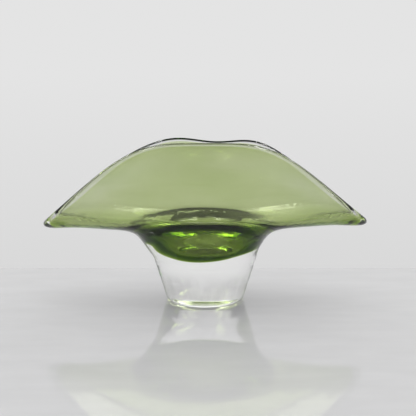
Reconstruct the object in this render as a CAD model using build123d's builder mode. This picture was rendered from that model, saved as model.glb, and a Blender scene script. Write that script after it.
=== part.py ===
from build123d import *
import math
import os

# Art glass bowl in three fused gathers of glass, in millimetres, +Z up.
# The origin is the middle of the polished underside. The two drooping wings point along +X and -X,
# the front wall faces -Y and the rear wall +Y.

# Foot: a solid block of clear glass, a cone with a rounded lower edge
underside_radius = 34.5
foot_edge_radius = 5.0
foot_edge_turn = 70.0  # degrees the edge rounding turns through before the straight side begins
foot_top_radius = 50.5
foot_height = 40.0

# Shape of every closed ring that the bowl's three surfaces pass through
ring_points = 32
rim_flatness = 0.285  # smaller keeps the level middle of the rim longer before it falls to the wings
tip_fullness = 0.06  # how blunt the wing tips are, seen from above

# The right wing is hung a little higher than the left one
wing_tilt = 1.3
tilt_blend = 18.0

# The rear rim is hand-pulled: lower than the front one, with two low crests and a dip between them
rear_drop = 1.6
wave_height = 2.3
wave_length = 95.0
wave_middle = 13.0
wave_reach = 90.0
wave_start = 100.0
rim_height = 159.3

# Each ring is (half length, height at the wings, half width, height at the walls, shift along X).
outer_rings = [
    (50.5, 40.0, 50.5, 40.0, 0.0),
    (51.6, 43.5, 51.3, 43.5, -0.2),
    (55.0, 50.5, 53.3, 51.0, -1.5),
    (60.2, 59.0, 55.7, 60.4, -2.1),
    (67.0, 67.2, 57.9, 71.0, -1.9),
    (77.0, 71.6, 59.8, 82.6, -1.1),
    (92.0, 72.7, 60.9, 96.0, -0.3),
    (110.0, 73.4, 60.2, 111.5, 0.0),
    (128.0, 74.0, 57.0, 127.0, 0.0),
    (144.0, 73.4, 51.6, 141.0, 0.0),
    (154.6, 73.5, 46.6, 151.5, 0.0),
]
lip_rings = [
    (158.6, 74.5, 44.7, 155.5, 0.0),
    (160.7, 76.3, 43.6, 158.1, 0.0),
    (160.9, 78.7, 42.0, 159.3, 0.0),
    (159.3, 81.1, 40.5, 158.8, 0.0),
    (156.4, 82.1, 39.7, 157.7, 0.0),
]
colour_edge_inside = (151.5, 82.0, 39.6, 156.2, 0.0)
colour_edge_outside = (151.5, 78.6, 42.2, 155.8, 0.0)
cavity_rings = [
    (143.0, 81.4, 44.2, 143.0, 0.0),
    (125.0, 80.6, 50.6, 126.0, 0.0),
    (106.0, 79.4, 54.0, 107.2, 0.0),
    (91.0, 78.4, 54.8, 94.4, 0.0),
    (77.0, 77.6, 54.2, 87.6, 0.0),
    (64.0, 76.9, 51.4, 85.0, 0.0),
    (52.0, 75.8, 46.0, 83.0, 0.0),
    (42.0, 73.6, 40.0, 79.4, 0.0),
    (36.2, 69.6, 36.4, 75.4, 0.0),
    (31.8, 65.0, 32.9, 69.4, 0.0),
    (28.6, 60.6, 29.3, 62.2, 0.0),
    (24.6, 57.0, 24.8, 57.4, 0.0),
    (18.0, 53.2, 18.1, 53.3, 0.0),
    (10.5, 51.0, 10.5, 51.0, 0.0),
    (4.0, 50.2, 4.0, 50.2, 0.0),
]
casing_rings = [
    (143.0, 78.8, 46.2, 142.6, 0.0),
    (126.0, 78.4, 52.6, 126.2, 0.0),
    (108.0, 77.4, 56.0, 107.4, 0.0),
    (93.0, 76.6, 56.8, 93.6, 0.0),
    (79.0, 75.8, 56.0, 85.4, 0.0),
    (66.0, 74.8, 53.0, 82.4, 0.0),
    (54.0, 72.8, 47.8, 80.4, 0.0),
    (44.6, 69.8, 42.9, 76.0, 0.0),
    (38.8, 65.2, 39.4, 70.8, 0.0),
    (34.8, 60.2, 35.6, 63.4, 0.0),
    (29.2, 55.8, 29.6, 57.0, 0.0),
    (21.0, 51.0, 21.0, 51.3, 0.0),
    (12.5, 47.4, 12.5, 47.5, 0.0),
    (4.0, 45.8, 4.0, 45.8, 0.0),
]


def rim_wave(x, across, wall_height):
    """Height of the rear rim against the front one, fading out below the rim."""
    rise = max(0.0, (wall_height - wave_start) / (rim_height - wave_start)) ** 3
    from_middle = x - wave_middle
    crests = -math.cos(2 * math.pi * from_middle / wave_length)
    wave = wave_height * crests * math.exp(-((from_middle / wave_reach) ** 2))
    return rise * max(0.0, across) ** 2 * (wave - rear_drop)


def ring(half_length, wing_height, half_width, wall_height, shift):
    """A closed curve round the bowl, level along each wall and falling to the two wings."""
    fullness = tip_fullness * (1 - half_width / half_length)
    tilt = wing_tilt * (1 - math.exp(-((max(0.0, half_length - foot_top_radius) / tilt_blend) ** 2)))
    points = []
    for number in range(ring_points):
        turn = 2 * math.pi * number / ring_points
        along = math.cos(turn)
        across = (math.sin(turn) + fullness * math.sin(3 * turn)) / (1 - fullness)
        fall = (1 + rim_flatness) * along**4 / (abs(along) ** 3 + rim_flatness)
        x = half_length * along
        height = wall_height + (wing_height - wall_height) * fall
        height += tilt * along**5 + rim_wave(x, across, wall_height)
        points.append((x + shift, half_width * across, height))
    with BuildLine() as closed_curve:
        Spline(*points, periodic=True)
    return closed_curve.wire()


# The surfaces, each a smooth skin through its rings, and the closing faces that they share
outer_skin = Shell.make_loft([ring(*row) for row in outer_rings + lip_rings + [colour_edge_inside]])
cavity_skin = Shell.make_loft([ring(*row) for row in [colour_edge_inside] + cavity_rings])
colour_skin = Shell.make_loft([ring(*row) for row in [colour_edge_outside] + casing_rings])
colour_edge = Shell.make_loft([ring(*colour_edge_inside), ring(*colour_edge_outside)], ruled=True)
foot_joint = Face(ring(*outer_rings[0]))
cavity_floor = Face(ring(*cavity_rings[-1]))
colour_floor = Face(ring(*casing_rings[-1]))

# Clear foot, ground and polished flat underneath
with BuildPart() as clear_foot:
    with BuildSketch(Plane.XZ):
        with BuildLine():
            flat = Line((0, 0), (underside_radius, 0))
            edge = JernArc(flat @ 1, flat % 1, foot_edge_radius, foot_edge_turn)
            side = Line(edge @ 1, (foot_top_radius, foot_height))
            top = Line(side @ 1, (0, foot_height))
            Line(top @ 1, flat @ 0)
        make_face()
    revolve(axis=Axis.Z)

# Clear outer gather: the outside of the bowl, the lip and the clear tips
with BuildPart() as clear_casing:
    casing_faces = outer_skin.faces() + colour_edge.faces() + colour_skin.faces()
    add(Solid(Shell(casing_faces + [foot_joint, colour_floor])))

# Green inner gather: the coloured lining of the cavity
with BuildPart() as green_lining:
    lining_faces = cavity_skin.faces() + colour_edge.faces() + colour_skin.faces()
    add(Solid(Shell(lining_faces + [cavity_floor, colour_floor])))

os.makedirs("parts", exist_ok=True)

clear_foot.part.label = "clear_foot"
export_step(clear_foot.part, "parts/clear_foot.step")

clear_casing.part.label = "clear_casing"
export_step(clear_casing.part, "parts/clear_casing.step")

green_lining.part.label = "green_lining"
export_step(green_lining.part, "parts/green_lining.step")
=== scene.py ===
import math

import bmesh
import bpy
import numpy as np
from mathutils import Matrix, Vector


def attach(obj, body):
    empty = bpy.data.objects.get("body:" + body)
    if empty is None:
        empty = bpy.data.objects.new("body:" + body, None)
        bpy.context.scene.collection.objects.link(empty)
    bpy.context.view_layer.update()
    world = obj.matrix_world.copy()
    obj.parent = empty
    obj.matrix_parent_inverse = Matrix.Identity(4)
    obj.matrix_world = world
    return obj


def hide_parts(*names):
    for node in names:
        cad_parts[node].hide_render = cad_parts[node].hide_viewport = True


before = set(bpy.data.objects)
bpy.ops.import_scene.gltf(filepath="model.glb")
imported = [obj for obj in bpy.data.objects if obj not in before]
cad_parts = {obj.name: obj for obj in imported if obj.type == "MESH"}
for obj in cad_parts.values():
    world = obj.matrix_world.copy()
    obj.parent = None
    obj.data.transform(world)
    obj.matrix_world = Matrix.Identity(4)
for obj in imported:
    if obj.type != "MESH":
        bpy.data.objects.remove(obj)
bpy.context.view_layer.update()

MM = 0.001

# Shape of the bowl, the same design as the CAD's, in millimetres
underside_radius = 34.5
foot_edge_radius = 5.0
foot_edge_turn = 70.0
foot_top_radius = 50.5
foot_height = 40.0
rim_flatness = 0.285
tip_fullness = 0.06
wing_tilt = 1.3
tilt_blend = 18.0
rear_drop = 1.6
wave_height = 2.3
wave_length = 95.0
wave_middle = 13.0
wave_reach = 90.0
wave_start = 100.0
rim_height = 159.3

# Each ring is (half length, height at the wings, half width, height at the walls, shift along X).
outer_rings = [
    (50.5, 40.0, 50.5, 40.0, 0.0),
    (51.6, 43.5, 51.3, 43.5, -0.2),
    (55.0, 50.5, 53.3, 51.0, -1.5),
    (60.2, 59.0, 55.7, 60.4, -2.1),
    (67.0, 67.2, 57.9, 71.0, -1.9),
    (77.0, 71.6, 59.8, 82.6, -1.1),
    (92.0, 72.7, 60.9, 96.0, -0.3),
    (110.0, 73.4, 60.2, 111.5, 0.0),
    (128.0, 74.0, 57.0, 127.0, 0.0),
    (144.0, 73.4, 51.6, 141.0, 0.0),
    (154.6, 73.5, 46.6, 151.5, 0.0),
]
lip_rings = [
    (158.6, 74.5, 44.7, 155.5, 0.0),
    (160.7, 76.3, 43.6, 158.1, 0.0),
    (160.9, 78.7, 42.0, 159.3, 0.0),
    (159.3, 81.1, 40.5, 158.8, 0.0),
    (156.4, 82.1, 39.7, 157.7, 0.0),
]
colour_edge_inside = (151.5, 82.0, 39.6, 156.2, 0.0)
colour_edge_outside = (151.5, 78.6, 42.2, 155.8, 0.0)
cavity_rings = [
    (143.0, 81.4, 44.2, 143.0, 0.0),
    (125.0, 80.6, 50.6, 126.0, 0.0),
    (106.0, 79.4, 54.0, 107.2, 0.0),
    (91.0, 78.4, 54.8, 94.4, 0.0),
    (77.0, 77.6, 54.2, 87.6, 0.0),
    (64.0, 76.9, 51.4, 85.0, 0.0),
    (52.0, 75.8, 46.0, 83.0, 0.0),
    (42.0, 73.6, 40.0, 79.4, 0.0),
    (36.2, 69.6, 36.4, 75.4, 0.0),
    (31.8, 65.0, 32.9, 69.4, 0.0),
    (28.6, 60.6, 29.3, 62.2, 0.0),
    (24.6, 57.0, 24.8, 57.4, 0.0),
    (18.0, 53.2, 18.1, 53.3, 0.0),
    (10.5, 51.0, 10.5, 51.0, 0.0),
    (4.0, 50.2, 4.0, 50.2, 0.0),
]
casing_rings = [
    (143.0, 78.8, 46.2, 142.6, 0.0),
    (126.0, 78.4, 52.6, 126.2, 0.0),
    (108.0, 77.4, 56.0, 107.4, 0.0),
    (93.0, 76.6, 56.8, 93.6, 0.0),
    (79.0, 75.8, 56.0, 85.4, 0.0),
    (66.0, 74.8, 53.0, 82.4, 0.0),
    (54.0, 72.8, 47.8, 80.4, 0.0),
    (44.6, 69.8, 42.9, 76.0, 0.0),
    (38.8, 65.2, 39.4, 70.8, 0.0),
    (34.8, 60.2, 35.6, 63.4, 0.0),
    (29.2, 55.8, 29.6, 57.0, 0.0),
    (21.0, 51.0, 21.0, 51.3, 0.0),
    (12.5, 47.4, 12.5, 47.5, 0.0),
    (4.0, 45.8, 4.0, 45.8, 0.0),
]

# Finish of the meshes: points round a ring, and rows of points across each surface
AROUND = 192
OUTSIDE_ROWS = 170
INSIDE_ROWS = 130
UNDERSIDE_ROWS = 20
EDGE_ROWS = 12
SIDE_ROWS = 24
SEAM_ROWS = 10
INNERMOST_RADIUS = 1.0
SHARPEST_SMOOTH = 0.6  # radians; an edge that turns more than this stays sharp

# Hair gaps that keep fused surfaces from coinciding, and the distance within which points are joined
LINING_GAP = 0.06
SEAM_GAP = 0.05
WELD = 0.002

# Glass. The green glass keeps this much of each colour, by this density for every metre of glass.
GLASS_IOR = 1.5
UNBENT_IOR = 1.0  # for a surface inside the glass, where light goes straight on
GREEN_KEPT = (0.50, 0.63, 0.0, 1)
GREEN_DENSITY = 250.0

# Hand-worked waves in the glass: size, height, and the lowest and highest place where each shows
BROAD_WAVE = (34.0, 0.5, 0.0, 170.0)
WING_FLOOR_WAVE = (5.0, 0.22, 72.0, 90.0)
FOOT_WAVE = (34.0, 0.5, 8.0, 50.0)
WAVE_FADE = 8.0

# Scuffs under the foot and mottling of the green are marks in the glass; the upright grey streaks in the
# foot are painted shade and painted reflections
SCUFF_SIZE = 1.5
SCUFF_ROUGHNESS = (0.25, 0.25, 0.25)
SCUFF_BAND = (-1.0, 3.0, 2.0)  # lowest and highest place, and the fade beyond them
# Painted shade and painted reflections: grey upright streaks that darken the lower foot
PAINTED_REFLECTION_SIZE = 9.0
PAINTED_SHADE_DARK, PAINTED_SHADE_PALE = (0.66, 0.66, 0.66), (0.90, 0.90, 0.90)
PAINTED_SHADE_BAND = (-5.0, 16.0, 22.0)
MOTTLE_SIZE = 45.0
MOTTLE_TINT = (0.93, 0.95, 0.89)

# Table, in metres
TABLE_SIZE = 12.0
TABLE_END = 0.125
TABLE_DROP = 0.0002
TABLE_ROUGHNESS = 0.05
TABLE_SHINE = 0.35
GRAIN_SIZE = 60.0  # millimetres
GRAIN_DARK, GRAIN_PALE = (0.70, 0.70, 0.705), (0.74, 0.74, 0.745)

# Studio wall. Each level is a height, which is the upward part of the direction, and the brightness there.
# The wall dims from one backward part of the direction to another, down to a share of its brightness.
WALL_LEVELS = [(-0.52, 0.03), (-0.4, 0.58), (-0.24, 0.69), (0.02, 0.775), (0.42, 0.775), (0.60, 0.06)]
WALL_DIMMEST_AT, WALL_FULL_AT = -0.5, 0.4
WALL_DIMMEST = 0.4

# Lamps, in metres, degrees and watts
SKY_ENERGY = 2.05
SKY_SPREAD = 90
SKY_TILT = -25
LAMPS_AIM = (0, 0, 0.1)
SIDE_LIGHT_SIZE = (0.6, 0.9)
SIDE_LIGHT_ENERGY = 3.5
SPARK_SIZE = (0.25, 0.25)
SPARK_ENERGY = 2.4

# Camera, in metres, degrees and millimetres of film
CAMERA_PLACE = (0.0029, -0.720, 0.2072)
CAMERA_DOWN = 9.1
LENS = 63.4
SENSOR = 36.0
BOUNCES = 40


def rim_wave(x, across, wall_height):
    """Height of the rear rim against the front one, fading out below the rim."""
    rise = max(0.0, (wall_height - wave_start) / (rim_height - wave_start)) ** 3
    from_middle = x - wave_middle
    crests = -math.cos(2 * math.pi * from_middle / wave_length)
    wave = wave_height * crests * math.exp(-((from_middle / wave_reach) ** 2))
    return rise * max(0.0, across) ** 2 * (wave - rear_drop)


def ring(half_length, wing_height, half_width, wall_height, shift):
    """Points of one closed curve round the bowl."""
    fullness = tip_fullness * (1 - half_width / half_length)
    tilt = wing_tilt * (1 - math.exp(-((max(0.0, half_length - foot_top_radius) / tilt_blend) ** 2)))
    points = []
    for number in range(AROUND):
        turn = 2 * math.pi * number / AROUND
        along = math.cos(turn)
        across = (math.sin(turn) + fullness * math.sin(3 * turn)) / (1 - fullness)
        fall = (1 + rim_flatness) * along**4 / (abs(along) ** 3 + rim_flatness)
        x = half_length * along
        height = wall_height + (wing_height - wall_height) * fall
        height += tilt * along**5 + rim_wave(x, across, wall_height)
        points.append((x + shift, half_width * across, height))
    return points


def smooth_rows(rows, count):
    """The rows, drawn out to count rows along a cubic spline through them."""
    rows = np.array(rows)
    steps = np.sqrt((np.diff(rows, axis=0) ** 2).sum(axis=1))
    at = np.concatenate([[0.0], np.cumsum(steps)])
    size = len(rows)
    matrix = np.zeros((size, size))
    right = np.zeros_like(rows)
    matrix[0, 0] = matrix[-1, -1] = 1.0
    for i in range(1, size - 1):
        before, after = at[i] - at[i - 1], at[i + 1] - at[i]
        matrix[i, i - 1:i + 2] = before, 2 * (before + after), after
        right[i] = 6 * ((rows[i + 1] - rows[i]) / after - (rows[i] - rows[i - 1]) / before)
    bends = np.linalg.solve(matrix, right)
    result = []
    for place in np.linspace(0.0, at[-1], count):
        i = min(int(np.searchsorted(at, place, side="right")) - 1, size - 2)
        span = at[i + 1] - at[i]
        a, b = (at[i + 1] - place) / span, (place - at[i]) / span
        curve = ((a**3 - a) * bends[i] + (b**3 - b) * bends[i + 1]) * span**2 / 6
        result.append(a * rows[i] + b * rows[i + 1] + curve)
    return result


def skin(rings, vertices, faces, slots, slot, first_centre=None, last_centre=None):
    """Adds quads through the rings, with a fan at either end where a centre point is given."""
    start = len(vertices)
    for points in rings:
        vertices.extend(points)
    if first_centre is not None:
        vertices.append(first_centre)
        middle = len(vertices) - 1
        for k in range(AROUND):
            faces.append((middle, start + (k + 1) % AROUND, start + k))
            slots.append(slot)
    for j in range(len(rings) - 1):
        low, high = start + j * AROUND, start + (j + 1) * AROUND
        for k in range(AROUND):
            m = (k + 1) % AROUND
            faces.append((low + k, low + m, high + m, high + k))
            slots.append(slot)
    if last_centre is not None:
        vertices.append(last_centre)
        middle = len(vertices) - 1
        last = start + (len(rings) - 1) * AROUND
        for k in range(AROUND):
            faces.append((last + k, last + (k + 1) % AROUND, middle))
            slots.append(slot)


def piece(name, vertices, faces, slots, materials):
    """A closed mesh of the given faces, smooth except at its sharp edges and where the glass changes."""
    mesh = bpy.data.meshes.new(name)
    mesh.from_pydata([[c * MM for c in v] for v in vertices], [], faces)
    for material in materials:
        mesh.materials.append(material)
    mesh.polygons.foreach_set("material_index", slots)
    bm = bmesh.new()
    bm.from_mesh(mesh)
    bmesh.ops.remove_doubles(bm, verts=bm.verts, dist=WELD * MM)
    bmesh.ops.recalc_face_normals(bm, faces=bm.faces)
    for edge in bm.edges:
        if len(edge.link_faces) == 2:
            first, second = edge.link_faces
            same = first.material_index == second.material_index
            edge.smooth = same and edge.calc_face_angle() < SHARPEST_SMOOTH
    for face in bm.faces:
        face.smooth = True
    bm.to_mesh(mesh)
    bm.free()
    obj = bpy.data.objects.new(name, mesh)
    bpy.context.scene.collection.objects.link(obj)
    return obj


def circle(radius, height):
    """Points of a level circle round the middle."""
    turns = [2 * math.pi * k / AROUND for k in range(AROUND)]
    return [(radius * math.cos(turn), radius * math.sin(turn), height) for turn in turns]


def grown(points_rings, distance):
    """Rings of a skin moved along their normals by a distance, away from the cavity."""
    grid = np.array(points_rings)
    along = np.gradient(grid, axis=0)
    around = np.roll(grid, -1, axis=1) - np.roll(grid, 1, axis=1)
    normal = np.cross(around, along)
    normal /= np.linalg.norm(normal, axis=2, keepdims=True) + 1e-12
    return (grid + distance * normal).tolist()


def principled(name, roughness, ior=GLASS_IOR, transmission=0.0):
    """A white material, which is glass where its transmission is 1."""
    material = bpy.data.materials.new(name)
    material.use_nodes = True
    shader = material.node_tree.nodes["Principled BSDF"]
    shader.inputs["Base Color"].default_value = (1, 1, 1, 1)
    shader.inputs["Roughness"].default_value = roughness
    shader.inputs["Transmission Weight"].default_value = transmission
    shader.inputs["IOR"].default_value = ior
    return material


def noise_at(tree, size, stretch=(1, 1, 1), detail=1.0):
    """A noise whose features are about size millimetres across, divided by the stretch."""
    place = tree.nodes.new("ShaderNodeTexCoord")
    mapping = tree.nodes.new("ShaderNodeMapping")
    mapping.inputs["Scale"].default_value = stretch
    noise = tree.nodes.new("ShaderNodeTexNoise")
    noise.inputs["Scale"].default_value = 1 / (size * MM)
    noise.inputs["Detail"].default_value = detail
    tree.links.new(place.outputs["Object"], mapping.inputs["Vector"])
    tree.links.new(mapping.outputs["Vector"], noise.inputs["Vector"])
    return noise.outputs[0]


def between(tree, low, high, fade):
    """1 where the height is between low and high millimetres, fading to 0 outside."""
    place = tree.nodes.new("ShaderNodeTexCoord")
    split = tree.nodes.new("ShaderNodeSeparateXYZ")
    tree.links.new(place.outputs["Object"], split.inputs[0])
    product = tree.nodes.new("ShaderNodeMath")
    product.operation = "MULTIPLY"
    for number, (outer, inner) in enumerate(((low - fade, low), (high + fade, high))):
        side = tree.nodes.new("ShaderNodeMapRange")
        side.interpolation_type = "SMOOTHSTEP"
        side.inputs["From Min"].default_value = outer * MM
        side.inputs["From Max"].default_value = inner * MM
        tree.links.new(split.outputs["Z"], side.inputs["Value"])
        tree.links.new(side.outputs[0], product.inputs[number])
    return product.outputs[0]


def ramp_of(tree, value, first, second, start, end):
    """A colour that runs from first to second as the value goes from start to end."""
    ramp = tree.nodes.new("ShaderNodeValToRGB")
    for element, place, colour in zip(ramp.color_ramp.elements, (start, end), (first, second)):
        element.position = place
        element.color = (*colour, 1)
    tree.links.new(value, ramp.inputs[0])
    return ramp.outputs[0]


def hand_worked(material, waves):
    """The slight waves of hand-worked glass: each is a size, a height and the heights where it shows."""
    tree = material.node_tree
    shader = tree.nodes["Principled BSDF"]
    normal = None
    for size, height, low, high in waves:
        bump = tree.nodes.new("ShaderNodeBump")
        bump.inputs["Distance"].default_value = height * MM
        tree.links.new(between(tree, low, high, WAVE_FADE), bump.inputs["Strength"])
        tree.links.new(noise_at(tree, size), bump.inputs["Height"])
        if normal is not None:
            tree.links.new(normal, bump.inputs["Normal"])
        normal = bump.outputs[0]
    tree.links.new(normal, shader.inputs["Normal"])


def colour_socket(sockets, name):
    """The colour socket of that name on a Mix node, which has others of the same name."""
    return next(socket for socket in sockets if socket.name == name and socket.type == "RGBA")


def area_light(name, place, size, energy):
    """A rectangular lamp that points at the bowl and shines through the glass."""
    data = bpy.data.lights.new(name, "AREA")
    data.shape = "RECTANGLE"
    data.size, data.size_y = size
    data.energy = energy
    light = bpy.data.objects.new(name, data)
    light.location = place
    towards = Vector(LAMPS_AIM) - Vector(place)
    light.rotation_euler = towards.to_track_quat("-Z", "Y").to_euler()
    light.light_linking.blocker_collection = shadow_casters
    bpy.context.scene.collection.objects.link(light)
    return light


# Glass: the clear casing, the clear foot, the joint between those two, and the green lining
clear = principled("clear_glass", 0.0, GLASS_IOR, 1.0)
hand_worked(clear, [BROAD_WAVE, WING_FLOOR_WAVE])

# The foot is a little rough where it stands. Its lower part is tinted grey with upright streaks, which are
# painted shade and painted reflections
foot_glass = principled("foot_glass", 0.0, GLASS_IOR, 1.0)
hand_worked(foot_glass, [FOOT_WAVE])
tree = foot_glass.node_tree
shader = tree.nodes["Principled BSDF"]
scuff_noise = noise_at(tree, SCUFF_SIZE, (1, 4, 1), 3.0)
scuffs = ramp_of(tree, scuff_noise, (0, 0, 0), SCUFF_ROUGHNESS, 0.2, 0.7)
wear = tree.nodes.new("ShaderNodeMath")
wear.operation = "MULTIPLY"
tree.links.new(scuffs, wear.inputs[0])
tree.links.new(between(tree, *SCUFF_BAND), wear.inputs[1])
tree.links.new(wear.outputs[0], shader.inputs["Roughness"])
# Painted shade and painted reflections: a grey tint with upright streaks over the lower foot
painted_reflection_noise = noise_at(tree, PAINTED_REFLECTION_SIZE, (1, 1, 0.12), 3.0)
painted_shade_and_reflections = ramp_of(tree, painted_reflection_noise, PAINTED_SHADE_DARK, PAINTED_SHADE_PALE, 0.3, 0.7)
shade = tree.nodes.new("ShaderNodeMix")
shade.data_type = "RGBA"
colour_socket(shade.inputs, "A").default_value = (1, 1, 1, 1)
tree.links.new(between(tree, *PAINTED_SHADE_BAND), shade.inputs["Factor"])
tree.links.new(painted_shade_and_reflections, colour_socket(shade.inputs, "B"))
tree.links.new(colour_socket(shade.outputs, "Result"), shader.inputs["Base Color"])

seam = principled("seam_glass", 0.0, UNBENT_IOR, 1.0)

green = principled("green_glass", 0.0, UNBENT_IOR, 1.0)
tree = green.node_tree
mottle_noise = noise_at(tree, MOTTLE_SIZE, (0.6, 1, 1.6), 2.0)
mottling = ramp_of(tree, mottle_noise, MOTTLE_TINT, (1, 1, 1), 0.35, 0.65)
tree.links.new(mottling, tree.nodes["Principled BSDF"].inputs["Base Color"])
absorption = tree.nodes.new("ShaderNodeVolumeAbsorption")
absorption.inputs["Color"].default_value = GREEN_KEPT
absorption.inputs["Density"].default_value = GREEN_DENSITY
tree.links.new(absorption.outputs["Volume"], tree.nodes["Material Output"].inputs["Volume"])

# Foot
vertices, faces, slots = [], [], []
turns = np.radians(np.linspace(0.0, foot_edge_turn, EDGE_ROWS))
side_radius = underside_radius + foot_edge_radius * math.sin(turns[-1])
side_start = foot_edge_radius * (1 - math.cos(turns[-1]))
rings = [circle(radius, 0.0) for radius in np.linspace(INNERMOST_RADIUS, underside_radius, UNDERSIDE_ROWS)]
for turn in turns[1:]:
    edge_radius = underside_radius + foot_edge_radius * math.sin(turn)
    rings.append(circle(edge_radius, foot_edge_radius * (1 - math.cos(turn))))
for part in np.linspace(0, 1, SIDE_ROWS)[1:]:
    rings.append(circle(side_radius + (foot_top_radius - side_radius) * part,
                        side_start + (foot_height - side_start) * part))
skin(rings, vertices, faces, slots, 0, first_centre=(0, 0, 0))
seam_height = foot_height - SEAM_GAP
seam_radii = np.linspace(INNERMOST_RADIUS, foot_top_radius, SEAM_ROWS)
skin([circle(radius, seam_height) for radius in reversed(seam_radii)], vertices, faces, slots, 1,
     last_centre=(0, 0, seam_height))
foot = piece("clear_foot_glass", vertices, faces, slots, [foot_glass, seam])

# Casing: its outside, the lip and the cavity, with the lining set into it
vertices, faces, slots = [], [], []
outside_rows = smooth_rows(outer_rings + lip_rings + [colour_edge_inside], OUTSIDE_ROWS)
outside = [ring(*row) for row in outside_rows]
inside = [ring(*row) for row in smooth_rows([colour_edge_inside] + cavity_rings, INSIDE_ROWS)]
cavity_floor = cavity_rings[-1][1]
skin(outside + inside[1:], vertices, faces, slots, 0, last_centre=(0, 0, cavity_floor))
skin([circle(radius, foot_height) for radius in seam_radii], vertices, faces, slots, 1,
     first_centre=(0, 0, foot_height))
casing = piece("clear_casing_glass", vertices, faces, slots, [clear, seam])

# Lining, a hair outside the cavity
vertices, faces, slots = [], [], []
colour = [ring(*row) for row in smooth_rows([colour_edge_outside] + casing_rings, INSIDE_ROWS)]
hidden = grown(inside, LINING_GAP)
skin(list(reversed(colour)) + hidden, vertices, faces, slots, 0,
     first_centre=(0, 0, casing_rings[-1][1]), last_centre=(0, 0, cavity_floor - LINING_GAP))
lining = piece("green_lining_glass", vertices, faces, slots, [green])

# The clear pieces let all light through to the table; the green one does so for the lamps only
for thing, node, slot in (
    (foot, "clear_foot", "clear_glass"),
    (casing, "clear_casing", "clear_glass"),
    (lining, "green_lining", "green_glass"),
):
    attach(thing, "root")
    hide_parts(node)
    thing.visible_shadow = thing is lining

# Table, ending a little behind the bowl
bpy.ops.mesh.primitive_plane_add(size=TABLE_SIZE)
table = bpy.context.object
table.name = "table"
table.location = (0, TABLE_END - TABLE_SIZE / 2, -TABLE_DROP)
lacquer = principled("pale_table", TABLE_ROUGHNESS)
tree = lacquer.node_tree
shader = tree.nodes["Principled BSDF"]
shader.inputs["Specular IOR Level"].default_value = TABLE_SHINE
grain_noise = noise_at(tree, GRAIN_SIZE, (1, 3, 1), 3.0)
grain = ramp_of(tree, grain_noise, GRAIN_DARK, GRAIN_PALE, 0.3, 0.7)
tree.links.new(grain, shader.inputs["Base Color"])
table.data.materials.append(lacquer)

# Only the table blocks the lamps, because they shine through glass
shadow_casters = bpy.data.collections.new("shadow_casters")
shadow_casters.objects.link(table)

# Studio: a pale wall all round, dark overhead and dark below the table
world = bpy.data.worlds.new("studio")
bpy.context.scene.world = world
world.use_nodes = True
tree = world.node_tree
background = tree.nodes["Background"]
direction = tree.nodes.new("ShaderNodeTexCoord")
split = tree.nodes.new("ShaderNodeSeparateXYZ")
tree.links.new(direction.outputs["Generated"], split.inputs[0])
upright = tree.nodes.new("ShaderNodeMapRange")
upright.inputs["From Min"].default_value = -1.0
tree.links.new(split.outputs["Z"], upright.inputs["Value"])
ramp = tree.nodes.new("ShaderNodeValToRGB")
tree.links.new(upright.outputs[0], ramp.inputs[0])
tree.links.new(ramp.outputs[0], background.inputs["Color"])
elements = ramp.color_ramp.elements
while len(elements) < len(WALL_LEVELS):
    elements.new(0.5)
for element, (height, level) in zip(elements, WALL_LEVELS):
    element.position = (height + 1) / 2
    element.color = (level, level, level, 1)

# The wall in front of the bowl, behind the camera, is dimmer than the wall at the back
facing = tree.nodes.new("ShaderNodeMapRange")
facing.interpolation_type = "SMOOTHSTEP"
facing.inputs["From Min"].default_value = WALL_DIMMEST_AT
facing.inputs["From Max"].default_value = WALL_FULL_AT
facing.inputs["To Min"].default_value = WALL_DIMMEST
tree.links.new(split.outputs["Y"], facing.inputs["Value"])
tree.links.new(facing.outputs[0], background.inputs["Strength"])

# A broad soft light from above and a little behind, kept out of mirrored views
sky_data = bpy.data.lights.new("sky_light", "SUN")
sky_data.energy = SKY_ENERGY
sky_data.angle = math.radians(SKY_SPREAD)
sky = bpy.data.objects.new("sky_light", sky_data)
sky.rotation_euler = (math.radians(SKY_TILT), 0, 0)
sky.visible_glossy = False
sky.light_linking.blocker_collection = shadow_casters
bpy.context.scene.collection.objects.link(sky)

# A soft light on each side for the table alone
for name, place in (("left_light", (-1.3, -0.7, 0.9)), ("right_light", (1.3, -0.5, 0.9))):
    side_light = area_light(name, place, SIDE_LIGHT_SIZE, SIDE_LIGHT_ENERGY)
    side_light.visible_glossy = side_light.visible_transmission = False

# Small lamps overhead that only put sparks in the glass
for across, along, height in ((0.35, -0.15, 1.1), (0.5, -0.45, 1.0), (0.75, 0.0, 0.9)):
    for side in (-1, 1):
        place = (side * across, along, height)
        spark_light = area_light("spark_light", place, SPARK_SIZE, SPARK_ENERGY)
        spark_light.visible_diffuse = False

camera_data = bpy.data.cameras.new("camera")
camera_data.sensor_width = SENSOR
camera_data.lens = LENS
camera = bpy.data.objects.new("camera", camera_data)
camera.location = CAMERA_PLACE
camera.rotation_euler = (math.radians(90 - CAMERA_DOWN), 0, 0)
bpy.context.scene.collection.objects.link(camera)
bpy.context.scene.camera = camera

scene = bpy.context.scene
scene.view_settings.view_transform = "Standard"
scene.cycles.max_bounces = BOUNCES
scene.cycles.transmission_bounces = BOUNCES
scene.cycles.glossy_bounces = BOUNCES
scene.cycles.transparent_max_bounces = BOUNCES
scene.cycles.caustics_refractive = False
scene.cycles.caustics_reflective = False
